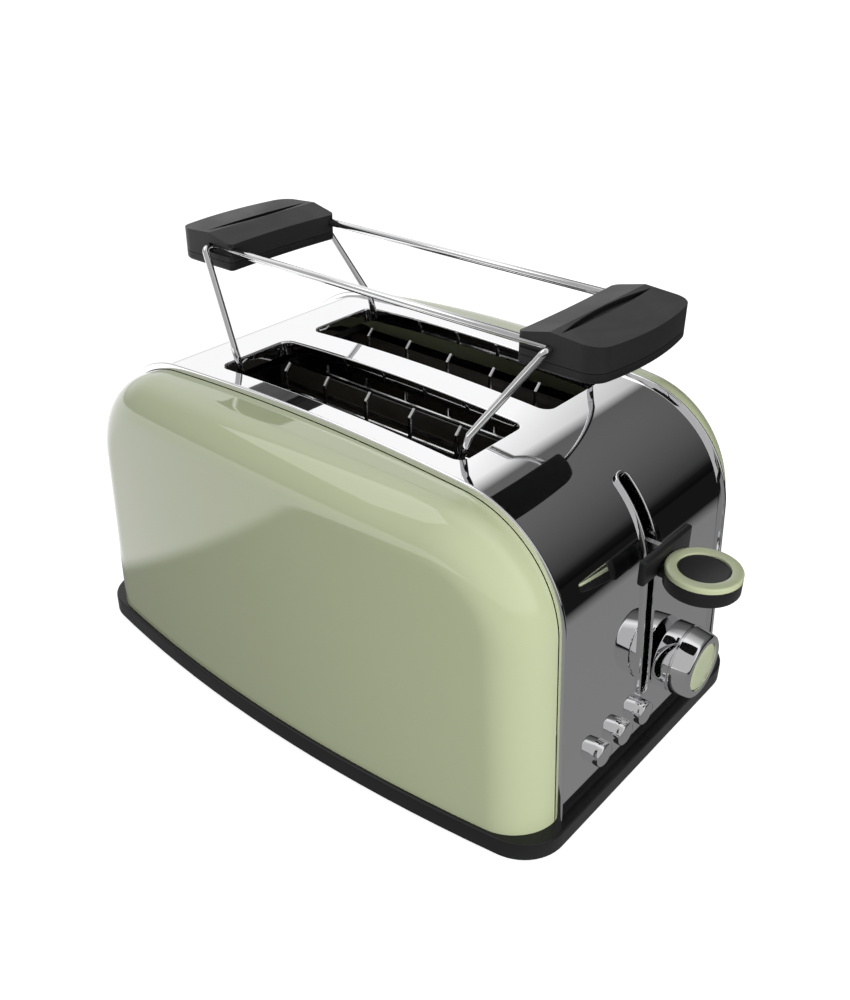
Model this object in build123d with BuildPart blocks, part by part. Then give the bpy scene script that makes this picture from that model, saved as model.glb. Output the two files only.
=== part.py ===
"""Two-slot domed toaster with a lift-off warming rack, in millimetres.

+X points to the lever end, -Y to the front side panel and +Z up.
The origin is on the table, under the middle of the whole toaster.
"""

import os
from math import acos, atan, cos, sin, sqrt

from build123d import *

# Plinth and feet
foot_height = 2.5
foot_radius = 8.0
foot_x = 112.0
foot_y = 62.0
plinth_half_length = 134.3
plinth_half_width = 92.0
plinth_corner = 20.0
skirt_height = 8.0
skirt_wall = 2.6
step_height = 3.0
deck_thickness = 2.0
bow_radius = 735.0

# Polished wrap: one band over the left end, the crown and the right end
wrap_half_length = 129.8
wrap_half_width = 61.0
crown_rise = 130.9
crown_radius = 1071.0
shoulder_radius = 49.0
end_taper = 0.062
sheet = 0.9
rim_height = 1.8
rim_width = 1.3

# Bread slots
slot_length = 133.0
slot_width = 40.0
slot_web = 16.2
slot_corner = 5.0
slot_shift = 1.8
collar_depth = 6.0

# Domed side panels
panel_step = 1.9
panel_inset = 1.2
panel_edge = 18.0
panel_wall = 2.6
boss_radius = 4.0
boss_x = 82.0
boss_low = 30.0
boss_high = 95.0

# Chassis
plate_sheet = 1.2
left_plate_x = -80.0
right_plate_x = 84.0
plate_half_width = 55.5
plate_top_gap = 16.0
flange = 8.0
shield_gap = 0.3
card_sheet = 0.8
card_low = 30.0
card_height = 96.0
ribbon_width = 2.0
ribbon_sheet = 0.3
ribbon_rows = 8
guide_wire = 0.9
guide_inset = 5.4
guide_posts = 6
guide_low = 26.0
guide_height = 104.0
guide_flare = 3.0

# Carriage and lever
lever_slot_half = 3.0
lever_slot_low = 36.0
lever_slot_high = 130.5
lip_height = 1.5
lip_width = 1.2
lever_z = 104.5
arm_height = 7.0
arm_sheet = 2.5
lever_drop = 34.0
lever_lift = 18.0
rod_radius = 2.5
rod_x = 96.0
running_gap = 0.05
hub_radius = 6.0
hub_height = 15.5
hub_low = 93.0
rest_z = 55.0
rest_height = 6.0
rest_sheet = 1.2
rest_gap = 1.0
rest_tail = 4.0
rest_tab = 10.0
rest_tabs = 5
bar_x = 128.6
bar_depth = 3.2
bar_length = 36.0
bar_height = 11.0
disc_x = 146.4
disc_radius = 14.5
disc_height = 9.0
ring_inner = 9.8
ring_height = 2.2
spring_radius = 3.0
spring_wire = 0.45
spring_turns = 9

# Controls on the right end
knob_y = 19.8
knob_z = 45.2
knob_radius = 15.2
knob_face_radius = 14.0
knob_length = 16.0
knob_back = 129.2
knob_cap_radius = 10.6
knob_cap_sheet = 1.2
knob_groove = 7.0
shaft_radius = 3.0
board_x = 116.0
board_sheet = 1.6
board_margin = 5.0
pot_radius = 8.0
pot_length = 7.0
switch_depth = 3.9
switch_half = 3.0
coil_radius = 6.0
core_radius = 3.0
yoke_sheet = 3.0
button_z = 28.0
button_y = -2.0
button_pitch = 16.0
button_radius = 5.3
button_proud = 4.6
button_travel = 1.5
magnet_size = 18.0

# Crumb tray
tray_half_width = 50.0
tray_depth = 4.9
tray_sheet = 0.8
tray_right = 82.0
tray_gap = 0.3
tray_front = 3.0
runner_lip = 4.0
runner_sheet = 1.5

# Cord gland
gland_radius = 7.0
gland_bore = 3.6
gland_y = 36.0
gland_z = 30.0

# Warming rack
rack_x = 4.0
rail_y = 29.5
rail_rise = 43.1
rail_radius = 1.7
rail_grip = 12.0
handle_inner = 74.5
ridge_reach = 13.5
handle_length = 33.0
handle_bulge = 4.0
handle_half = 32.0
handle_below = 8.5
split_below = 4.5
inner_above = 3.1
ridge_above = 6.5
outer_above = 4.8
handle_corner = 8.0
seam = 0.25
groove_depth = 1.6
groove_half = 3.0
axle_reach = 13.8
leg_radius = 1.5
leg_stand = 2.6
leg_knee_in = 24.3
leg_knee_drop = 36.5
leg_foot_in = 28.0
leg_foot_y = 43.2
leg_foot_drop = 47.5

# Fixings
screw_head = 3.6
screw_height = 1.6
screw_y = 72.0

# Levels and places that follow
ledge_z = foot_height + skirt_height
wrap_z = ledge_z + step_height
crown_z = wrap_z + crown_rise
slot_y = (slot_web + slot_width) / 2
plate_top = crown_z - plate_top_gap
shield_y = plate_half_width + shield_gap
deck_z = wrap_z - deck_thickness
mouth_top = ledge_z - 1.4
spring_y = hub_radius + spring_radius + spring_wire + seam
lug_top = rest_z + rest_height
tray_low = mouth_top - tray_gap - tray_depth
rail_z = crown_z + rail_rise
handle_bottom = rail_z - handle_below
handle_split = rail_z - split_below
handle_inner_top = rail_z + inner_above
handle_ridge_top = rail_z + ridge_above
handle_outer_top = rail_z + outer_above
handle_ridge = handle_inner + ridge_reach
handle_outer = handle_inner + handle_length
axle_x = handle_inner + axle_reach
leg_knee_z = rail_z - leg_knee_drop
leg_foot_z = rail_z - leg_foot_drop
panel_half_width = plinth_half_width - panel_step


def flank_x(z, inset=0.0):
    """X of the tapered end at a height below the shoulder."""
    lean = atan(end_taper)
    return wrap_half_length - end_taper * (z - wrap_z) - inset / cos(lean)


def arch_points(inset, bottom):
    """Right half of the body's side view: where crown, shoulder and end meet."""
    lean = atan(end_taper)
    crown_centre = Vector(0, crown_z - crown_radius)
    normal = Vector(cos(lean), sin(lean))
    reach = wrap_half_length * cos(lean) + wrap_z * sin(lean)
    share = (reach - shoulder_radius - crown_centre.dot(normal)) / (crown_radius - shoulder_radius)
    turn = lean + acos(share)
    shoulder_centre = crown_centre + Vector(cos(turn), sin(turn)) * (crown_radius - shoulder_radius)
    half = (turn + lean) / 2
    radius = shoulder_radius - inset
    join = shoulder_centre + Vector(cos(turn), sin(turn)) * radius
    middle = shoulder_centre + Vector(cos(half), sin(half)) * radius
    flank = shoulder_centre + normal * radius
    return join, middle, flank, Vector(flank_x(bottom, inset), bottom)


def arch_view(inset, bottom):
    """Side view of the body, inset from its outer surface."""
    join, middle, flank, foot = arch_points(inset, bottom)
    with BuildSketch() as view:
        with BuildLine():
            Line((-foot.X, foot.Y), (-flank.X, flank.Y))
            ThreePointArc((-flank.X, flank.Y), (-middle.X, middle.Y), (-join.X, join.Y))
            ThreePointArc((-join.X, join.Y), (0, crown_z - inset), join)
            ThreePointArc(join, middle, flank)
            Line(flank, foot)
            Line(foot, (-foot.X, foot.Y))
        make_face()
    return view.sketch


def bow_y(x, half_width):
    """Half width of the bowed plan at a place along the length."""
    return half_width - bow_radius + sqrt(bow_radius**2 - x**2)


def bowed_plan(half_length, half_width, corner):
    """Plan with straight ends, bowed long sides and rounded corners."""
    end_y = bow_y(half_length, half_width)
    with BuildSketch() as plan:
        with BuildLine():
            ThreePointArc((-half_length, -end_y), (0, -half_width), (half_length, -end_y))
            Line((half_length, -end_y), (half_length, end_y))
            ThreePointArc((half_length, end_y), (0, half_width), (-half_length, end_y))
            Line((-half_length, end_y), (-half_length, -end_y))
        make_face()
        fillet(plan.vertices(), corner)
    return plan.sketch


def slab(low, high, mode=Mode.ADD):
    """Box between two corners, in the current part."""
    with BuildSketch(Plane.XY.offset(low[2])) as section:
        with Locations(((low[0] + high[0]) / 2, (low[1] + high[1]) / 2)):
            Rectangle(high[0] - low[0], high[1] - low[1])
    extrude(section.sketch, amount=high[2] - low[2], mode=mode)


def x_disc(x, y, z, radius, length, mode=Mode.ADD):
    """Cylinder along +X from a place, in the current part."""
    with BuildSketch(Plane.YZ.offset(x)) as section:
        with Locations((y, z)):
            Circle(radius)
    extrude(section.sketch, amount=length, mode=mode)


def z_disc(x, y, z, radius, length, mode=Mode.ADD):
    """Cylinder along +Z from a place, in the current part."""
    with BuildSketch(Plane.XY.offset(z)) as section:
        with Locations((x, y)):
            Circle(radius)
    extrude(section.sketch, amount=length, mode=mode)


def save(piece, name):
    """Move a finished piece into the frame, label it and write it as its own file."""
    placed = Location((-middle_x, 0, 0)) * piece.part
    placed.label = name
    export_step(placed, f"parts/{name}.step")


os.makedirs("parts", exist_ok=True)

# Pieces are drawn about the plinth's centre; the frame's origin is under the whole toaster's middle
middle_x = (disc_x + disc_radius - plinth_half_length) / 2

# Plinth: bowed skirt with a ledge, a raised step that carries the wrap, and tray runners
foot_places = [(x, y) for x in (-foot_x, foot_x) for y in (-foot_y, foot_y)]
step_half_width = wrap_half_width - rim_width
with BuildPart() as base_plinth:
    with BuildSketch(Plane.XY.offset(foot_height)):
        add(bowed_plan(plinth_half_length, plinth_half_width, plinth_corner))
    extrude(amount=skirt_height)
    fillet(base_plinth.faces().sort_by(Axis.Z)[-1].edges(), 0.8)
    with BuildSketch(Plane.XY.offset(foot_height)):
        inner = (plinth_half_length - skirt_wall, plinth_half_width - skirt_wall)
        add(bowed_plan(*inner, plinth_corner - skirt_wall))
    extrude(amount=skirt_height - deck_thickness, mode=Mode.SUBTRACT)
    slab((-wrap_half_length, -step_half_width, ledge_z), (wrap_half_length, step_half_width, wrap_z))
    slab(
        (-wrap_half_length + skirt_wall, -step_half_width + skirt_wall, foot_height),
        (wrap_half_length - skirt_wall, step_half_width - skirt_wall, deck_z),
        Mode.SUBTRACT,
    )
    # Crumb opening under the two slots
    slab(
        (left_plate_x + flange, -plate_half_width + flange, deck_z - 1),
        (right_plate_x - flange, plate_half_width - flange, wrap_z + 1),
        Mode.SUBTRACT,
    )
    # Mouth for the tray in the left skirt
    slab(
        (-plinth_half_length - 1, -tray_half_width - tray_gap, foot_height - 1),
        (-wrap_half_length + skirt_wall + 1, tray_half_width + tray_gap, mouth_top),
        Mode.SUBTRACT,
    )
    for side in (-1, 1):
        wall = sorted((side * (tray_half_width + tray_gap), side * (tray_half_width + tray_gap + runner_sheet)))
        lip = sorted((side * (tray_half_width - runner_lip), side * (tray_half_width + tray_gap + runner_sheet)))
        slab(
            (-wrap_half_length + skirt_wall, wall[0], tray_low - tray_gap - 1),
            (tray_right, wall[1], deck_z),
        )
        slab(
            (-wrap_half_length + skirt_wall, lip[0], tray_low - tray_gap - 1),
            (tray_right, lip[1], tray_low - tray_gap),
        )
    for place in foot_places:
        z_disc(*place, foot_height, foot_radius + 1.5, skirt_height - 0.5)
        z_disc(*place, foot_height, foot_radius - 2, 2, Mode.SUBTRACT)
save(base_plinth, "base_plinth")

# Feet: four turned rubber pads with a spigot in the plinth's bosses
with BuildPart() as feet:
    for place in foot_places:
        z_disc(*place, 0, foot_radius, foot_height)
        z_disc(*place, foot_height, foot_radius - 2.2, 1.8)
    fillet(feet.faces().group_by(Axis.Z)[0].edges(), 0.8)
save(feet, "feet")

# Screws up through the ledge into the side panels
with BuildPart() as base_screws:
    for x in (-boss_x, boss_x):
        for y in (-screw_y, screw_y):
            z_disc(x, y, ledge_z - deck_thickness - screw_height, screw_head, screw_height)
save(base_screws, "base_screws")

# Crumb tray: folded sheet with a moulded front that closes the mouth
tray_left = -plinth_half_length + tray_front
with BuildPart() as crumb_tray:
    slab(
        (tray_left, -tray_half_width, tray_low),
        (tray_right, tray_half_width, tray_low + tray_depth),
    )
    slab(
        (tray_left + tray_sheet, -tray_half_width + tray_sheet, tray_low + tray_sheet),
        (tray_right - tray_sheet, tray_half_width - tray_sheet, tray_low + tray_depth + 1),
        Mode.SUBTRACT,
    )
    slab(
        (-plinth_half_length, -tray_half_width, foot_height + tray_gap),
        (tray_left, tray_half_width, tray_low + tray_depth),
    )
    # Finger scoop under the front
    slab(
        (-plinth_half_length - 1, -slot_width / 2, foot_height - 1),
        (-plinth_half_length + tray_front / 2, slot_width / 2, foot_height + 2),
        Mode.SUBTRACT,
    )
save(crumb_tray, "crumb_tray")

# Wrap: bent sheet with standing rims, two collared slots and the holes of the controls
with BuildPart() as collars:
    with BuildSketch(Plane.XY.offset(crown_z - collar_depth)):
        with Locations((slot_shift, slot_y), (slot_shift, -slot_y)):
            RectangleRounded(slot_length + 2 * sheet, slot_width + 2 * sheet, slot_corner + sheet)
    extrude(amount=collar_depth)
    with BuildSketch(Plane.XZ):
        add(arch_view(sheet / 3, wrap_z))
    extrude(amount=wrap_half_width, both=True, mode=Mode.INTERSECT)

with BuildPart() as lever_lip:
    with BuildSketch(Plane.XZ):
        add(arch_view(-lip_height, wrap_z))
    extrude(amount=wrap_half_width, both=True)
    with BuildSketch(Plane.XZ):
        add(arch_view(sheet / 2, wrap_z - 1))
    extrude(amount=wrap_half_width + 1, both=True, mode=Mode.SUBTRACT)
    with BuildSketch(Plane.YZ.offset(right_plate_x)):
        with Locations((0, (lever_slot_low + lever_slot_high) / 2)):
            RectangleRounded(
                2 * (lever_slot_half + lip_width),
                lever_slot_high - lever_slot_low + 2 * lip_width,
                lever_slot_half + lip_width - 0.1,
            )
    extrude(amount=wrap_half_length, mode=Mode.INTERSECT)

button_places = [button_y - n * button_pitch for n in range(3)]
with BuildPart() as chrome_wrap:
    with BuildSketch(Plane.XZ):
        add(arch_view(0, wrap_z))
    extrude(amount=step_half_width, both=True)
    for side in (-1, 1):
        with BuildSketch(Plane.XZ.offset(side * (wrap_half_width - rim_width / 2))):
            add(arch_view(-rim_height, ledge_z))
        extrude(amount=rim_width / 2, both=True)
    with BuildSketch(Plane.XZ):
        add(arch_view(sheet, ledge_z - 1))
    extrude(amount=wrap_half_width + 1, both=True, mode=Mode.SUBTRACT)
    add(collars.part)
    add(lever_lip.part)
    with BuildSketch(Plane.XY.offset(crown_z - collar_depth - 1)):
        with Locations((slot_shift, slot_y), (slot_shift, -slot_y)):
            RectangleRounded(slot_length, slot_width, slot_corner)
    extrude(amount=collar_depth + 5, mode=Mode.SUBTRACT)
    with BuildSketch(Plane.YZ.offset(right_plate_x)):
        with Locations((0, (lever_slot_low + lever_slot_high) / 2)):
            RectangleRounded(
                2 * lever_slot_half, lever_slot_high - lever_slot_low, lever_slot_half - 0.1
            )
    extrude(amount=wrap_half_length, mode=Mode.SUBTRACT)
    for y in button_places:
        x_disc(board_x, y, button_z, button_radius + running_gap, plinth_half_length - board_x, Mode.SUBTRACT)
    x_disc(board_x, knob_y, knob_z, shaft_radius + 0.5, plinth_half_length - board_x, Mode.SUBTRACT)
    x_disc(-plinth_half_length, gland_y, gland_z, gland_radius - 1.7, plinth_half_length - board_x, Mode.SUBTRACT)
save(chrome_wrap, "chrome_wrap")


# Side panels: domed hollow mouldings on the ledge, against the rims
def panel_form(inset):
    """Solid of a front side panel, its outer surface moved in by inset."""
    seat_y = wrap_half_width + seam
    with BuildPart() as form:
        with BuildSketch(Plane.XZ.offset(seat_y)):
            add(arch_view(panel_inset + inset, ledge_z + inset))
        extrude(amount=panel_half_width - seat_y)
        reach = panel_half_width - inset
        end_y = bow_y(wrap_half_length, reach)
        with BuildSketch(Plane.XY.offset(ledge_z + inset)):
            with BuildLine():
                ThreePointArc((-wrap_half_length, -end_y), (0, -reach), (wrap_half_length, -end_y))
                Line((wrap_half_length, -end_y), (wrap_half_length, -seat_y))
                Line((wrap_half_length, -seat_y), (-wrap_half_length, -seat_y))
                Line((-wrap_half_length, -seat_y), (-wrap_half_length, -end_y))
            make_face()
        extrude(amount=crown_z, mode=Mode.INTERSECT)
        front = form.faces().sort_by(Axis.Y)[0]
        edge = min(panel_edge, 1.05 * (bow_y(wrap_half_length, panel_half_width) - seat_y))
        fillet(front.edges().filter_by_position(Axis.Z, ledge_z + inset + 1, crown_z), edge - inset)
    return form.part


with BuildPart() as front_side_panel:
    add(panel_form(0))
    add(panel_form(panel_wall), mode=Mode.SUBTRACT)
    for x in (-boss_x, boss_x):
        depth = bow_y(boss_x, panel_half_width) - wrap_half_width - seam - panel_wall / 2
        for z in (boss_low, boss_high):
            with BuildSketch(Plane.XZ.offset(wrap_half_width + seam)):
                with Locations((x, z)):
                    Circle(boss_radius)
            extrude(amount=depth)
save(front_side_panel, "front_side_panel")

with BuildPart() as rear_side_panel:
    mirror(front_side_panel.part, about=Plane.XZ)
save(rear_side_panel, "rear_side_panel")


# Chassis: two end plates with folded tops, two shields, heater cards and their ribbons
rest_travel_low = rest_z - rest_height / 2 - lever_drop - rest_gap
rest_travel_high = rest_z + rest_height / 2 + lever_lift + rest_gap


def rest_windows(x):
    """Windows in an end plate for the bread rests over their whole travel."""
    for y in (-slot_y, slot_y):
        half = rest_sheet / 2 + rest_gap
        slab((x - 1, y - half, rest_travel_low), (x + plate_sheet + 1, y + half, rest_travel_high), Mode.SUBTRACT)


with BuildPart() as left_end_plate:
    slab((left_plate_x, -plate_half_width, wrap_z), (left_plate_x + plate_sheet, plate_half_width, plate_top))
    slab(
        (left_plate_x, -plate_half_width, plate_top - plate_sheet),
        (left_plate_x + flange, plate_half_width, plate_top),
    )
    slab((left_plate_x - flange, -plate_half_width, wrap_z), (left_plate_x, plate_half_width, wrap_z + plate_sheet))
    rest_windows(left_plate_x)
save(left_end_plate, "left_end_plate")

with BuildPart() as right_end_plate:
    slab((right_plate_x, -plate_half_width, wrap_z), (right_plate_x + plate_sheet, plate_half_width, plate_top))
    slab(
        (right_plate_x, -spring_y - spring_radius - 1, plate_top - plate_sheet),
        (rod_x + hub_radius, 2 * hub_radius, plate_top),
    )
    slab(
        (right_plate_x, -plate_half_width, wrap_z),
        (right_plate_x + flange / 2, plate_half_width, wrap_z + plate_sheet),
    )
    z_disc(rod_x, 0, plate_top - 2, rod_radius + running_gap, 4, Mode.SUBTRACT)
    rest_windows(right_plate_x)
save(right_end_plate, "right_end_plate")

for name, side in (("heat_shield_front", -1), ("heat_shield_rear", 1)):
    near, far = sorted((side * shield_y, side * (shield_y + plate_sheet)))
    with BuildPart() as shield:
        slab((left_plate_x, near, wrap_z), (right_plate_x + plate_sheet, far, plate_top - 2))
    save(shield, name)

card_left = left_plate_x + plate_sheet
card_y = slot_y + slot_width / 2 + 1.5
for name, y in (("heater_card_front", -card_y), ("heater_card_centre", 0), ("heater_card_rear", card_y)):
    with BuildPart() as card:
        slab((card_left, y - card_sheet / 2, card_low), (right_plate_x, y + card_sheet / 2, card_low + card_height))
    save(card, name)

ribbon_pitch = card_height / (ribbon_rows + 1)
ribbon_faces = [
    -card_y + card_sheet / 2,
    -card_sheet / 2 - ribbon_sheet,
    card_sheet / 2,
    card_y - card_sheet / 2 - ribbon_sheet,
]
with BuildPart() as heater_ribbons:
    for y in ribbon_faces:
        for row in range(1, ribbon_rows + 1):
            z = card_low + row * ribbon_pitch
            slab((card_left + 4, y, z), (right_plate_x - 4, y + ribbon_sheet, z + ribbon_width))
save(heater_ribbons, "heater_ribbons")


# Bread guides: wire grids either side of each slot, flared at the top
def bread_guide(y, away):
    """Grid at a distance from the middle, its top leaning away from the bread."""
    top = guide_low + guide_height
    post_pitch = (slot_length - 8) / (guide_posts - 1)
    with BuildPart() as grid:
        for n in range(guide_posts):
            x = slot_shift + (n - (guide_posts - 1) / 2) * post_pitch
            with BuildLine():
                Polyline((x, y, guide_low), (x, y, top), (x, y + away * guide_flare, top + guide_flare))
            with BuildSketch(Plane.XY.offset(guide_low)):
                with Locations((x, y)):
                    RegularPolygon(guide_wire, 8)
            sweep(transition=Transition.RIGHT)
        for z in (guide_low + 6, guide_low + guide_height / 2, top - 10):
            with BuildSketch(Plane.YZ.offset(card_left)):
                with Locations((y + away * 1.5 * guide_wire, z)):
                    RegularPolygon(guide_wire, 8)
            extrude(amount=right_plate_x - card_left)
    return grid


guide_out = slot_y + slot_width / 2 - guide_inset
guide_in = slot_y - slot_width / 2 + guide_inset
guides = (
    ("bread_guide_front_outer", -guide_out, -1),
    ("bread_guide_front_inner", -guide_in, 1),
    ("bread_guide_rear_inner", guide_in, -1),
    ("bread_guide_rear_outer", guide_out, 1),
)
for name, y, away in guides:
    save(bread_guide(y, away), name)

# Carriage: bracket that runs on the rod, with the lever's arm and the magnet's armature
carriage_x = right_plate_x + plate_sheet + 4
armature_z = wrap_z + magnet_size + lever_drop + 0.4
arm_low = lever_z - arm_height / 2
with BuildPart() as carriage:
    slab(
        (carriage_x, -slot_y - 3, rest_z - rest_height / 2),
        (carriage_x + plate_sheet, slot_y + 3, rest_z + rest_height),
    )
    slab((carriage_x, -hub_radius, rest_z), (carriage_x + plate_sheet, hub_radius, hub_low + hub_height))
    slab((carriage_x, -hub_radius, hub_low), (rod_x, hub_radius, hub_low + hub_height))
    z_disc(rod_x, 0, hub_low, hub_radius, hub_height)
    slab((rod_x, -arm_sheet / 2, arm_low), (bar_x + bar_depth / 2, arm_sheet / 2, arm_low + arm_height))
    slab(
        (carriage_x, slot_y - magnet_size / 2, armature_z),
        (rod_x + magnet_size / 2, slot_y + 3, armature_z + 2),
    )
    slab(
        (carriage_x, slot_y - magnet_size / 2, rest_z),
        (carriage_x + plate_sheet, slot_y + 3, armature_z + 2),
    )
    # Lug that the return spring pulls on
    slab(
        (carriage_x, -spring_y - spring_radius, lug_top - plate_sheet),
        (rod_x + spring_radius, -spring_y + spring_radius, lug_top),
    )
    z_disc(rod_x, 0, hub_low - 1, rod_radius + running_gap, hub_height + 2, Mode.SUBTRACT)
save(carriage, "carriage")

for name, y in (("bread_rest_front", -slot_y), ("bread_rest_rear", slot_y)):
    with BuildPart() as rest:
        slab(
            (left_plate_x - rest_tail, y - rest_sheet / 2, rest_z - rest_height / 2),
            (carriage_x, y + rest_sheet / 2, rest_z + rest_height / 2),
        )
        for n in range(rest_tabs):
            x = slot_shift + (n - (rest_tabs - 1) / 2) * slot_length / rest_tabs
            slab(
                (x - rest_tab / 2, y - rest_tab / 2, rest_z + rest_height / 2 - rest_sheet),
                (x + rest_tab / 2, y + rest_tab / 2, rest_z + rest_height / 2),
            )
    save(rest, name)

with BuildPart() as carriage_rod:
    z_disc(rod_x, 0, wrap_z, rod_radius, plate_top - wrap_z + 2)
save(carriage_rod, "carriage_rod")

# Lever grip: bar across the slot with a round pad, and a coloured ring let into its top
pad_top = lever_z + 1.1
with BuildPart() as lever_grip:
    slab(
        (bar_x, -bar_length / 2, lever_z - bar_height / 2),
        (bar_x + bar_depth, bar_length / 2, lever_z + bar_height / 2),
    )
    fillet(lever_grip.edges().filter_by(Axis.Z), 1.2)
    z_disc(disc_x, 0, pad_top - disc_height, disc_radius, disc_height - ring_height)
    fillet(lever_grip.faces().sort_by(Axis.Z)[0].edges(), 1.0)
    slab((bar_x + bar_depth / 2, -hub_radius, pad_top - disc_height + 1), (disc_x, hub_radius, pad_top - ring_height))
    z_disc(disc_x, 0, pad_top - ring_height, ring_inner, ring_height - 0.7)
    slab(
        (bar_x - 1, -arm_sheet / 2 - 0.02, arm_low - 0.02),
        (bar_x + bar_depth / 2 + 0.02, arm_sheet / 2 + 0.02, arm_low + arm_height + 0.02),
        Mode.SUBTRACT,
    )
save(lever_grip, "lever_grip")

with BuildPart() as lever_ring:
    z_disc(disc_x, 0, pad_top - ring_height, disc_radius, ring_height)
    z_disc(disc_x, 0, pad_top - ring_height - 1, ring_inner + 0.02, ring_height + 2, Mode.SUBTRACT)
    fillet(lever_ring.faces().sort_by(Axis.Z)[-1].edges(), 0.6)
save(lever_ring, "lever_ring")

# Return spring beside the rod, from the carriage's lug to the plate's tab
spring_height = plate_top - plate_sheet - lug_top - 2 * spring_wire - seam
with BuildPart() as carriage_spring:
    with BuildLine(Plane.XY.offset(lug_top + spring_wire + seam / 2)):
        coil = Helix(
            pitch=spring_height / spring_turns,
            height=spring_height,
            radius=spring_radius,
            center=(rod_x, -spring_y, 0),
        )
    with BuildSketch(Plane(origin=coil @ 0, z_dir=coil % 0)):
        RegularPolygon(spring_wire, 5)
    sweep()
save(carriage_spring, "carriage_spring")

# Electromagnet that holds the carriage down
with BuildPart() as electromagnet:
    core = (rod_x + magnet_size / 8, slot_y - yoke_sheet, wrap_z + yoke_sheet)
    slab(
        (rod_x - magnet_size / 4, slot_y - magnet_size / 2, wrap_z),
        (rod_x + magnet_size / 2, slot_y + yoke_sheet, wrap_z + yoke_sheet),
    )
    z_disc(*core, core_radius, magnet_size - yoke_sheet)
    z_disc(*core, coil_radius, magnet_size - 2 * yoke_sheet - plate_sheet)
save(electromagnet, "electromagnet")

# Control board with the selector's housing and one switch behind each button
board_face = board_x + board_sheet
board_left = button_places[-1] - button_radius - board_margin
board_right = knob_y + knob_radius + board_margin
with BuildPart() as control_board:
    slab((board_x, board_left, wrap_z), (board_face, board_right, knob_z + knob_radius))
    x_disc(board_face, knob_y, knob_z, pot_radius, pot_length)
    x_disc(board_face + 1, knob_y, knob_z, shaft_radius + running_gap, pot_length, Mode.SUBTRACT)
    for y in button_places:
        slab(
            (board_face, y - switch_half, button_z - switch_half),
            (board_face + switch_depth, y + switch_half, button_z + switch_half),
        )
save(control_board, "control_board")

with BuildPart() as browning_shaft:
    x_disc(board_face + 1.3, knob_y, knob_z, shaft_radius, knob_back + knob_length / 2 - board_face - 1.3)
save(browning_shaft, "browning_shaft")

# Browning knob: skirt, groove and tapered cap turned about its shaft, with a coloured disc in its face
knob_front = knob_back + knob_length
groove_x = knob_back + knob_groove
knob_plane = Plane(origin=(0, knob_y, knob_z), x_dir=(1, 0, 0), z_dir=(0, -1, 0))
with BuildPart() as browning_knob:
    with BuildSketch(knob_plane):
        with BuildLine():
            Polyline(
                (knob_back, 0),
                (knob_back, knob_radius),
                (groove_x, knob_radius),
                (groove_x, knob_radius - 0.7),
                (groove_x + 0.7, knob_radius - 0.7),
                (groove_x + 0.7, knob_radius),
                (knob_front, knob_face_radius),
                (knob_front, knob_cap_radius + 0.2),
                (knob_front - 1.6, knob_cap_radius + 0.2),
                (knob_front - 1.6, 0),
                close=True,
            )
        make_face()
    revolve(axis=Axis((0, knob_y, knob_z), (1, 0, 0)))
    x_disc(knob_back - 1, knob_y, knob_z, shaft_radius + 0.02, knob_length / 2 + 1.02, Mode.SUBTRACT)
save(browning_knob, "browning_knob")

with BuildPart() as browning_knob_cap:
    x_disc(knob_front - 1.6, knob_y, knob_z, knob_cap_radius, knob_cap_sheet)
save(browning_knob_cap, "browning_knob_cap")

# Three push buttons, each with a retaining flange inside the wrap and a stem to its switch
button_front = flank_x(button_z) + button_proud
flange_front = flank_x(button_z + button_radius + 2) - sheet - 0.4
for name, y in zip(("button_reheat", "button_defrost", "button_cancel"), button_places):
    with BuildPart() as button:
        x_disc(flange_front - 1.2, y, button_z, button_radius, button_front - flange_front + 1.2)
        fillet(button.faces().sort_by(Axis.X)[-1].edges(), 0.9)
        x_disc(flange_front - 1.2, y, button_z, button_radius + 1.3, 1.2)
        stem_x = board_face + switch_depth + button_travel + 0.3
        x_disc(stem_x, y, button_z, 2, flange_front - stem_x)
    save(button, name)

# Gland in the left end for a cord
gland_x = -flank_x(gland_z) - 0.6
with BuildPart() as cord_gland:
    x_disc(gland_x - 2.4, gland_y, gland_z, gland_radius, 2.4)
    x_disc(gland_x, gland_y, gland_z, gland_radius - 2, 7)
    x_disc(gland_x - 3, gland_y, gland_z, gland_bore, 12, Mode.SUBTRACT)
save(cord_gland, "cord_gland")


# Warming rack: two end handles in two shells, two rails and two folding wire legs
def handle_plan():
    """Plan of the right handle: concave inner edge, convex outer edge."""
    inner = rack_x + handle_inner
    outer = rack_x + handle_outer
    with BuildSketch() as plan:
        with BuildLine():
            ThreePointArc((inner, -handle_half), (inner + 1.2, 0), (inner, handle_half))
            Line((inner, handle_half), (outer, handle_half))
            ThreePointArc((outer, handle_half), (outer + handle_bulge, 0), (outer, -handle_half))
            Line((outer, -handle_half), (inner, -handle_half))
        make_face()
        fillet(plan.vertices().group_by(Axis.X)[-1], handle_corner)
        fillet(plan.vertices().group_by(Axis.X)[0], 2.5)
    return plan.sketch


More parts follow.
